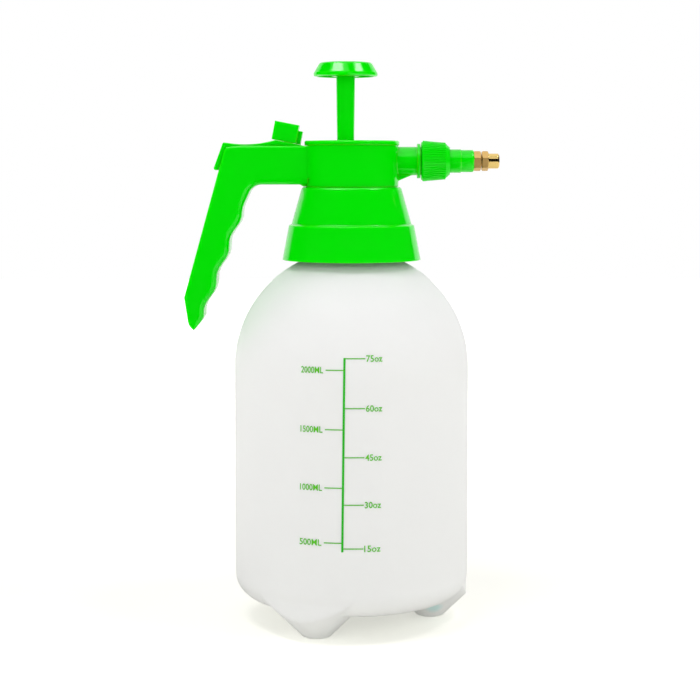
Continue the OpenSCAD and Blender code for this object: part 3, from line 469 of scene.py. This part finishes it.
@dataclass(frozen=True)
class Ink:
    """Screen printed ink with a slightly broken cover."""

    name: str
    colour: Colour
    thin: Colour
    gloss: Span = (0.35, 0.5)
    cover_waves: float = 1400.0
    cover_span: Span = (0.45, 0.75)
    gloss_waves: float = 300.0

    def make(self) -> bpy.types.Material:
        """Builds the material.

        Returns:
            The material.
        """
        recipe = Recipe(self.name)
        cover = recipe.spread(recipe.noise(self.cover_waves, detail=2.0), 0.0, 1.0, *self.cover_span)
        recipe.feed("Base Color", recipe.tint(cover, self.colour, self.thin))
        recipe.feed("Roughness", recipe.spread(recipe.noise(self.gloss_waves), *self.gloss))
        return recipe.material


@dataclass
class Finishes:
    """All finishes of the sprayer, made once."""

    green: bpy.types.Material = field(init=False)
    ribbed: bpy.types.Material = field(init=False)
    milky: bpy.types.Material = field(init=False)
    natural: bpy.types.Material = field(init=False)
    hose: bpy.types.Material = field(init=False)
    teal: bpy.types.Material = field(init=False)
    brass: bpy.types.Material = field(init=False)
    steel: bpy.types.Material = field(init=False)
    rubber: bpy.types.Material = field(init=False)
    ink: bpy.types.Material = field(init=False)
    pale_ink: bpy.types.Material = field(init=False)

    def __post_init__(self) -> None:
        """Builds every material."""
        leaf, leaf_cloud = (0.0, 0.71, 0.0), (0.0, 0.7, 0.0)
        # each rim colour below is a painted edge highlight
        self.green = Moulded("green_plastic", leaf, leaf_cloud, rim=(0.06, 0.8, 0.002),
                             gloss=(0.1, 0.16), depth=0.003).make()
        self.ribbed = Moulded("ribbed_green_plastic", leaf, leaf_cloud, rim=(0.0, 0.74, 0.0),
                              gloss=(0.2, 0.26), edge=0.0001, depth=0.001, sheen=0.25).make()
        self.milky = Blown("milky_plastic", (0.95, 0.99, 0.95), (0.945, 0.986, 0.945), clear=0.2,
                           depth=0.0012, gloss=(0.4, 0.5), sheen=0.3, edge=0.004,
                           behind=(0.72, 0.93, 0.9)).make()
        self.natural = Moulded("natural_plastic", (0.80, 0.82, 0.79), (0.74, 0.76, 0.73),
                               rim=(0.85, 0.86, 0.84)).make()
        self.hose = Blown("clear_hose", (0.78, 0.84, 0.82), (0.72, 0.79, 0.77), clear=0.55,
                          gloss=(0.18, 0.28)).make()
        self.teal = Moulded("teal_plastic", (0.02, 0.26, 0.25), (0.02, 0.22, 0.22),
                            rim=(0.06, 0.34, 0.32)).make()
        self.brass = Turned("turned_brass", (0.87, 0.62, 0.22), dull=(0.76, 0.485, 0.172),
                            bright_from=81.3 * MM).make()
        self.steel = Steel("bright_steel").make()
        self.rubber = Rubber("seal_rubber").make()
        self.ink = Ink("green_ink", (0.005, 0.5, 0.0), thin=(0.02, 0.54, 0.004)).make()
        self.pale_ink = Ink("pale_green_ink", (0.08, 0.54, 0.0), thin=(0.14, 0.58, 0.01)).make()


def wear(node: bpy.types.Object, finish: bpy.types.Material) -> None:
    """Puts a finish on a node of the frame.

    Args:
        node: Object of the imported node.
        finish: Its material.
    """
    for place in node.material_slots:
        place.link = "OBJECT"
        place.material = finish
    LOG.info("node %s wears %s", node.name, finish.name)


def piece(name: str, points: list[Vector], faces: Faces, finish: bpy.types.Material,
          body: Body) -> None:
    """Makes one scene piece that rides on a body.

    Args:
        name: Name of the piece.
        points: Its vertices in the frame, in metres.
        faces: Its faces.
        finish: Its material.
        body: Body that carries it.
    """
    mesh = bpy.data.meshes.new(name)
    mesh.from_pydata(points, [], faces)
    mesh.validate()
    mesh.materials.append(finish)
    result = placed(name, mesh)
    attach(result, body.value)
    LOG.info("piece %s rides on %s", name, body.value)


@dataclass(frozen=True)
class Thread:
    """Screw ridge wound right-handed about an axis, in millimetres."""

    LEAST_STEPS: ClassVar[int] = 24
    STEPS_A_TURN: ClassVar[int] = 48
    RUN_OUT: ClassVar[float] = 12.0

    name: str
    along: Along
    root: float
    crest: float
    foot: float
    land: float
    pitch: float
    start: float
    turns: float
    height: float = 0.0
    phase: float = 0.0

    def points(self, steps: int) -> list[Vector]:
        """Winds the ridge's four corners, sunk into the wall at both ends.

        Args:
            steps: Stations along the helix.

        Returns:
            Four points for each station.
        """
        result = []
        for i in range(steps + 1):
            share = i / steps
            fade = min(1.0, self.RUN_OUT * min(share, 1.0 - share))
            crest = self.root + (self.crest - self.root) * fade
            angle = 2 * math.pi * (self.turns * share + self.phase)
            middle = self.start + self.pitch * self.turns * share
            for radius, offset in ((self.root, -self.foot / 2), (crest, -self.land / 2),
                                   (crest, self.land / 2), (self.root, self.foot / 2)):
                across, over = radius * math.cos(angle), radius * math.sin(angle)
                if self.along is Along.UP:
                    result.append(Vector((across, over, middle + offset)) * MM)
                else:
                    result.append(Vector((middle + offset, across, self.height + over)) * MM)
        return result

    def wind(self, finish: bpy.types.Material, body: Body, slot: Slot) -> None:
        """Makes the ridge as a closed mesh.

        Args:
            finish: Material of the ridge.
            body: Body that carries it.
            slot: Slot of the record that its finish belongs to; not used.
        """
        steps = max(self.LEAST_STEPS, int(self.turns * self.STEPS_A_TURN))
        faces: Faces = [(3, 2, 1, 0), tuple(4 * steps + k for k in range(4))]
        for i in range(steps):
            for k in range(4):
                a, b = 4 * i + k, 4 * i + (k + 1) % 4
                faces.append((a, b, b + 4, a + 4))
        piece(self.name, self.points(steps), faces, finish, body)


def between(first: Span, last: Span, share: float) -> Span:
    """Gives the point at a share of the way from one point to another."""
    rest = 1 - share
    return first[0] * rest + last[0] * share, first[1] * rest + last[1] * share


@dataclass(frozen=True)
class Mark:
    """One graduation of the volume scale."""

    label: str
    height: float
    metric: bool


@dataclass
class Bottle:
    """Blow moulded bottle with its printed volume scale and neck thread, in millimetres."""

    radius: float = 70.0
    shoulder: float = 153.0
    ink_proud: float = 0.06
    line_at: float = -5.25
    line_low: float = 55.4
    line_high: float = 165.5
    line_width: float = 1.25
    line_cells: tuple[int, int] = (2, 60)
    lean: float = 0.0112
    tick_width: float = 0.6
    tick_cells: tuple[int, int] = (14, 1)
    metric_from: float = -15.9
    ounce_to: float = 6.6
    metric_text_end: float = -17.3
    ounce_text_start: float = 7.1
    text_height: float = 3.7
    text_swell: float = 0.012
    text_slab: float = 0.5
    text_curve_steps: int = 3
    metric_text_width: float = 13.2
    ounce_text_width: float = 9.4
    marks: tuple[Mark, ...] = (
        Mark("75oz", 165.1, False), Mark("2000ML", 158.6, True), Mark("60oz", 137.1, False),
        Mark("1500ML", 125.0, True), Mark("45oz", 109.3, False), Mark("1000ML", 91.9, True),
        Mark("30oz", 82.3, False), Mark("500ML", 60.5, True), Mark("15oz", 57.3, False))
    thread: Thread = Thread("neck_thread", Along.UP, root=27.3, crest=29.0, foot=2.0, land=0.9,
                            pitch=4.0, start=223.5, turns=3.1)

    def on_wall(self, across: float, height: float, proud: float) -> Vector:
        """Places a point of the print on the wall or the domed shoulder.

        Args:
            across: Distance along the wall from the front, to the right.
            height: Height above the floor.
            proud: Height above the wall.

        Returns:
            The point in the frame, in metres.
        """
        rise = max(0.0, height - self.shoulder)
        wall = math.sqrt(self.radius ** 2 - rise ** 2)
        angle = across / self.radius
        lift = (self.radius + proud) / self.radius
        return Vector((wall * lift * math.sin(angle), -wall * lift * math.cos(angle),
                       height + rise * (lift - 1.0))) * MM

    def strip(self, name: str, outline: Sequence[Span], cells: tuple[int, int],
              ink: bpy.types.Material) -> None:
        """Prints one thin four-sided strip that follows the wall.

        Args:
            name: Name of the strip.
            outline: Lower left, lower right, upper right and upper left, across and up.
            cells: Cells across and up.
            ink: Material of the strip.
        """
        columns, rows = cells
        lower_left, lower_right, upper_right, upper_left = outline
        sides = []
        for proud in (self.ink_proud, -self.ink_proud):
            for j in range(rows + 1):
                for i in range(columns + 1):
                    low = between(lower_left, lower_right, i / columns)
                    high = between(upper_left, upper_right, i / columns)
                    sides.append(self.on_wall(*between(low, high, j / rows), proud))
        width, back = columns + 1, (columns + 1) * (rows + 1)
        faces: Faces = []
        for j in range(rows):
            for i in range(columns):
                a = j * width + i
                faces.append((a, a + 1, a + width + 1, a + width))
                faces.append((back + a, back + a + width, back + a + width + 1, back + a + 1))
        rim = [*range(columns)]
        rim += [columns + j * width for j in range(rows)]
        rim += [rows * width + i for i in range(columns, 0, -1)]
        rim += [j * width for j in range(rows, 0, -1)]
        for a, b in zip(rim, rim[1:] + rim[:1]):
            faces.append((b, a, back + a, back + b))
        piece(name, sides, faces, ink, Body.BOTTLE)

    def words(self, name: str, label: str, left: float, height: float, width: float,
              ink: bpy.types.Material) -> None:
        """Prints one label on the wall.

        Args:
            name: Name of the piece.
            label: Number and unit.
            left: Left end of the label.
            height: Height of the label's middle.
            width: Width of the label.
            ink: Material of the label.
        """
        curve = bpy.data.curves.new(name + "_curve", "FONT")
        curve.body = label
        curve.size = 1.0
        curve.extrude = self.text_slab
        curve.offset = self.text_swell
        curve.resolution_u = self.text_curve_steps
        writer = placed(name + "_writer", curve)
        bpy.context.view_layer.update()
        shown = writer.evaluated_get(bpy.context.evaluated_depsgraph_get())
        flat = bpy.data.meshes.new_from_object(shown)
        spots = [vertex.co.copy() for vertex in flat.vertices]
        faces = [tuple(face.vertices) for face in flat.polygons]
        bpy.data.objects.remove(writer)
        bpy.data.curves.remove(curve)
        bpy.data.meshes.remove(flat)
        low = [min(spot[k] for spot in spots) for k in (0, 1)]
        high = [max(spot[k] for spot in spots) for k in (0, 1)]
        scale = (width / (high[0] - low[0]), self.text_height / (high[1] - low[1]))
        points = [self.on_wall(left + (spot.x - low[0]) * scale[0],
                               height + (spot.y - low[1]) * scale[1] - self.text_height / 2,
                               self.ink_proud if spot.z > 0 else -self.ink_proud) for spot in spots]
        piece(name, points, faces, ink, Body.BOTTLE)

    def print_scale(self, ink: bpy.types.Material, pale_ink: bpy.types.Material) -> None:
        """Prints the scale's line, ticks and labels.

        Args:
            ink: Material of the line.
            pale_ink: Material of ticks and labels.
        """
        half, thin = self.line_width / 2, self.tick_width / 2
        top = self.line_at + self.lean * (self.line_high - self.line_low)
        line = [(self.line_at - half, self.line_low), (self.line_at + half, self.line_low),
                (top + half, self.line_high), (top - half, self.line_high)]
        self.strip("scale_line", line, self.line_cells, ink)
        for mark in self.marks:
            shift = self.lean * (mark.height - self.line_low)
            if mark.metric:
                left, right = self.metric_from + shift, self.line_at + shift
                width = self.metric_text_width
                text = self.metric_text_end + shift - width
            else:
                left, right = self.line_at + shift, self.ounce_to + shift
                width = self.ounce_text_width
                text = self.ounce_text_start + shift
            low, high = mark.height - thin, mark.height + thin
            tick = [(left, low), (right, low), (right, high), (left, high)]
            self.strip(f"tick_{mark.label}", tick, self.tick_cells, pale_ink)
            self.words(f"label_{mark.label}", mark.label, text, mark.height, width, pale_ink)

    def build(self, nodes: Nodes, finishes: Finishes) -> None:
        """Dresses the bottle and adds its print and thread.

        Args:
            nodes: Nodes of the frame.
            finishes: Materials.
        """
        wear(nodes["bottle"], finishes.milky)
        self.print_scale(finishes.ink, finishes.pale_ink)
        self.thread.wind(finishes.milky, Body.BOTTLE, Slot.CLEAR_WHITE)


@dataclass
class Collar:
    """Screw collar that clamps the head on the neck."""

    thread: Thread = Thread("collar_thread", Along.UP, root=30.4, crest=28.3, foot=1.8, land=0.8,
                            pitch=4.0, start=221.5, turns=3.6)

    def build(self, nodes: Nodes, finishes: Finishes) -> None:
        """Dresses the collar, the gasket under the flange and the inner thread.

        Args:
            nodes: Nodes of the frame.
            finishes: Materials.
        """
        wear(nodes["screw_collar"], finishes.green)
        wear(nodes["neck_gasket"], finishes.rubber)
        self.thread.wind(finishes.green, Body.COLLAR, Slot.GREEN)


@dataclass
class Head:
    """Head housing with handle, lid, pump barrel, spray valve and suction tube.

    The spring's seat is in metres, as the frame is.
    """

    thread: Thread = Thread("spout_thread", Along.SPRAY, root=7.6, crest=8.35, foot=1.1, land=0.4,
                            pitch=2.0, start=43.0, turns=3.6, height=SPRAY_HEIGHT)
    spring_seat: Point = (0.0116, 0.0, 0.267172)
    spring_keep: float = 0.6

    def build(self, nodes: Nodes, finishes: Finishes) -> None:
        """Dresses the head's nodes, gives the valve's spring a mesh of its own and adds the spout's
        thread.

        Args:
            nodes: Nodes of the frame.
            finishes: Materials.
        """
        for name in ("head_housing", "head_lid"):
            wear(nodes[name], finishes.green)
        for name in ("pump_cylinder", "valve_gland"):
            wear(nodes[name], finishes.natural)
        for name in ("barrel_seal", "check_valve", "gland_ring", "needle_seal"):
            wear(nodes[name], finishes.rubber)
        for name in ("trigger_pin", "valve_spring", "pull_bar", "valve_needle"):
            wear(nodes[name], finishes.steel)
        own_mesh(nodes["valve_spring"])
        wear(nodes["dip_tube"], finishes.hose)
        wear(nodes["strainer"], finishes.teal)
        self.thread.wind(finishes.green, Body.HEAD, Slot.GREEN)


@dataclass
class Plunger:
    """Pump rod with knob, piston, cup and screw."""

    def build(self, nodes: Nodes, finishes: Finishes) -> None:
        """Dresses the plunger's nodes.

        Args:
            nodes: Nodes of the frame.
            finishes: Materials.
        """
        for name in ("pump_rod", "pump_knob"):
            wear(nodes[name], finishes.green)
        wear(nodes["piston"], finishes.natural)
        wear(nodes["piston_cup"], finishes.rubber)
        wear(nodes["piston_screw"], finishes.steel)


@dataclass
class Trigger:
    """Thumb lever and its lock."""

    def build(self, nodes: Nodes, finishes: Finishes) -> None:
        """Dresses the lever and the lock."""
        for name in ("trigger_lever", "lock_slide"):
            wear(nodes[name], finishes.green)


@dataclass
class Nozzle:
    """Ribbed nut, nozzle tube and brass tip."""

    nut_thread: Thread = Thread("nut_thread", Along.SPRAY, root=8.9, crest=8.05, foot=1.0, land=0.4,
                                pitch=2.0, start=42.6, turns=3.0, height=SPRAY_HEIGHT, phase=0.3)
    stud_thread: Thread = Thread("stud_thread", Along.SPRAY, root=2.9, crest=3.28, foot=0.5, land=0.15,
                                 pitch=0.8, start=77.1, turns=1.7, height=SPRAY_HEIGHT)

    def build(self, nodes: Nodes, finishes: Finishes) -> None:
        """Dresses the nozzle's nodes and adds the threads of nut and stud.

        Args:
            nodes: Nodes of the frame.
            finishes: Materials.
        """
        wear(nodes["outlet_nut"], finishes.ribbed)
        wear(nodes["nozzle_tube"], finishes.green)
        for name in ("nozzle_base", "nozzle_tip"):
            wear(nodes[name], finishes.brass)
        for name in ("outlet_washer", "tip_ring"):
            wear(nodes[name], finishes.rubber)
        wear(nodes["swirl_core"], finishes.steel)
        self.nut_thread.wind(finishes.green, Body.NUT, Slot.GREEN)
        self.stud_thread.wind(finishes.brass, Body.NOZZLE, Slot.BRASS)


@dataclass(frozen=True)
class Softbox:
    """One large soft lamp, in metres and watts."""

    name: str
    at: Point
    aim: Point
    size: Span
    power: float

    def hang(self) -> None:
        """Hangs the lamp and turns it to its aim."""
        lamp = bpy.data.lights.new(self.name, "AREA")
        lamp.shape = "RECTANGLE"
        lamp.size, lamp.size_y = self.size
        lamp.energy = self.power
        result = placed(self.name, lamp)
        result.location = self.at
        way = Vector(self.aim) - Vector(self.at)
        result.rotation_euler = way.to_track_quat("-Z", "Y").to_euler()


@dataclass(frozen=True)
class Screen:
    """One curved dark screen, from one turn about the object to another, in degrees and metres."""

    first: float
    last: float
    high: float


@dataclass
class Studio:
    """White floor, soft lamps and the photograph's camera, in metres."""

    eye: Point = (-0.0009, -0.9956, 0.2726)
    tilt: float = 4.39
    lens: float = 85.7
    sensor: float = 36.0
    shift: float = -0.08
    far: float = 50.0
    floor_size: float = 6.0
    floor_colour: Colour = (0.86, 0.85, 0.805)
    floor_glow: Colour = (1.0, 0.99, 0.955)
    floor_lift: float = 0.34
    floor_fade: Span = (0.25, 0.9)
    floor_share: float = 0.4
    sky: Span = (1.5, 0.25)
    sky_fade: Span = (0.35, 0.7)
    screen_radius: float = 1.9
    screens: tuple[Screen, ...] = (
        Screen(-132.0, -80.0, 2.7), Screen(-80.0, 15.0, 1.65), Screen(15.0, 53.0, 5.4),
        Screen(53.0, 95.0, 1.9), Screen(95.0, 132.0, 2.7))
    screen_step: float = 10.0
    screen_colour: Colour = (0.004, 0.004, 0.004)
    mat_lift: float = 0.001
    mat: tuple[Span, ...] = ((-1.8, -1.8), (0.215, -1.8), (0.07, 0.08), (-1.8, 0.08))
    lamps: tuple[Softbox, ...] = (
        Softbox("left_softbox", at=(-0.46, -0.489, 1.56), aim=(0.0, 0.0, 0.33), size=(0.84, 0.22),
                power=6.2),
        Softbox("right_softbox", at=(0.763, -0.235, 1.476), aim=(0.0, 0.0, 0.33), size=(0.55, 0.22),
                power=4.2))

    def camera(self) -> None:
        """Sets up the camera at the photograph's viewing angle."""
        data = bpy.data.cameras.new("photo_camera")
        data.lens, data.sensor_width = self.lens, self.sensor
        data.shift_y = self.shift
        data.clip_end = self.far
        camera = placed("photo_camera", data)
        camera.location = self.eye
        camera.rotation_euler = (math.radians(90.0 - self.tilt), 0.0, 0.0)
        bpy.context.scene.camera = camera

    @staticmethod
    def seen(tree: bpy.types.NodeTree, *others: str) -> Socket:
        """Adds the test for rays that show the background.

        Args:
            tree: Node tree of the floor or the sky.
            *others: Light Path outputs that count beside the camera's.

        Returns:
            1 for the camera's rays and the others, and 0 for light.
        """
        path = tree.nodes.new("ShaderNodeLightPath")
        total = path.outputs["Is Camera Ray"]
        for name in others:
            both = tree.nodes.new("ShaderNodeMath")
            both.operation = "MAXIMUM"
            tree.links.new(total, both.inputs[0])
            tree.links.new(path.outputs[name], both.inputs[1])
            total = both.outputs[0]
        return total

    def sky_light(self) -> None:
        """Makes the white sky, brightest towards the horizon as a white room is."""
        world = bpy.data.worlds.new("white_sky")
        bpy.context.scene.world = world
        world.use_nodes = True
        tree = world.node_tree
        back = tree.nodes["Background"]
        back.inputs["Color"].default_value = (1.0, 1.0, 1.0, 1.0)
        way = tree.nodes.new("ShaderNodeTexCoord")
        split = tree.nodes.new("ShaderNodeSeparateXYZ")
        tree.links.new(way.outputs["Generated"], split.inputs["Vector"])
        fade = map_range(tree, split.outputs["Z"], self.sky_fade, self.sky)
        seen = self.seen(tree, "Is Glossy Ray", "Is Transmission Ray")
        level = map_range(tree, seen, (0.0, 1.0), (0.0, 1.0))
        tree.links.new(fade.outputs["Result"], level.inputs["To Min"])
        tree.links.new(level.outputs["Result"], back.inputs["Strength"])

    def floor(self) -> None:
        """Lays the pale floor, which keeps the object's shadow."""
        half = self.floor_size / 2
        mesh = bpy.data.meshes.new("floor")
        points = [(-half, -half, 0), (half, -half, 0), (half, half, 0), (-half, half, 0)]
        mesh.from_pydata(points, [], [(0, 1, 2, 3)])
        floor = placed("floor", mesh)
        material = bpy.data.materials.new("white_floor")
        material.use_nodes = True
        tree = material.node_tree
        tree.nodes.clear()
        paint = tree.nodes.new("ShaderNodeBsdfDiffuse")
        paint.inputs["Color"].default_value = (*self.floor_colour, 1.0)
        glow = tree.nodes.new("ShaderNodeEmission")
        glow.inputs["Color"].default_value = (*self.floor_glow, 1.0)
        place = tree.nodes.new("ShaderNodeTexCoord")
        reach = tree.nodes.new("ShaderNodeVectorMath")
        reach.operation = "LENGTH"
        tree.links.new(place.outputs["Object"], reach.inputs[0])
        lift = map_range(tree, reach.outputs["Value"], self.floor_fade, (self.floor_lift, 1.0))
        seen = self.seen(tree, "Is Transmission Ray")
        share = map_range(tree, seen, (0.0, 1.0), (self.floor_share, 1.0))
        level = tree.nodes.new("ShaderNodeMath")
        level.operation = "MULTIPLY"
        tree.links.new(lift.outputs["Result"], level.inputs[1])
        tree.links.new(share.outputs["Result"], level.inputs[0])
        tree.links.new(level.outputs[0], glow.inputs["Strength"])
        both = tree.nodes.new("ShaderNodeAddShader")
        tree.links.new(paint.outputs[0], both.inputs[0])
        tree.links.new(glow.outputs[0], both.inputs[1])
        output = tree.nodes.new("ShaderNodeOutputMaterial")
        tree.links.new(both.outputs[0], output.inputs["Surface"])
        mesh.materials.append(material)

    def dark_surround(self) -> None:
        """Stands dark screens and lays a dark mat on the camera's side, which only reflections see."""
        points: list[Point] = []
        faces: Faces = []
        for side in self.screens:
            steps = math.ceil((side.last - side.first) / self.screen_step)
            for i in range(steps + 1):
                turn = math.radians(side.first + (side.last - side.first) * i / steps)
                across = self.screen_radius * math.sin(turn)
                ahead = -self.screen_radius * math.cos(turn)
                points += [(across, ahead, 0.0), (across, ahead, side.high)]
                if i:
                    end = len(points)
                    faces.append((end - 4, end - 2, end - 1, end - 3))
        faces.append(tuple(range(len(points), len(points) + len(self.mat))))
        points += [(x, y, self.mat_lift) for x, y in self.mat]
        mesh = bpy.data.meshes.new("dark_screen")
        mesh.from_pydata(points, [], faces)
        screen = placed("dark_screen", mesh)
        material = bpy.data.materials.new("dark_screen")
        material.use_nodes = True
        black = material.node_tree.nodes["Principled BSDF"]
        black.inputs["Base Color"].default_value = (*self.screen_colour, 1.0)
        black.inputs["Specular IOR Level"].default_value = 0.0
        mesh.materials.append(material)
        screen.visible_camera = screen.visible_diffuse = False
        screen.visible_shadow = screen.visible_transmission = False

    def build(self) -> None:
        """Sets up camera, sky, floor, screens and lamps."""
        bpy.context.scene.view_settings.view_transform = "Standard"
        self.camera()
        self.sky_light()
        self.floor()
        self.dark_surround()
        for lamp in self.lamps:
            lamp.hang()
            LOG.info("lamp %s", lamp.name)


def main() -> None:
    """Loads the frame and builds every sub-assembly in order."""
    logging.basicConfig(level=logging.INFO, format="%(name)s: %(message)s")
    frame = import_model()
    finishes = Finishes()
    Studio().build()
    builders: list[Callable[[Nodes, Finishes], None]] = [
        Bottle().build, Collar().build, Head().build, Plunger().build, Trigger().build, Nozzle().build]
    for build in builders:
        build(frame["nodes"], finishes)


if __name__ == "__main__":
    main()
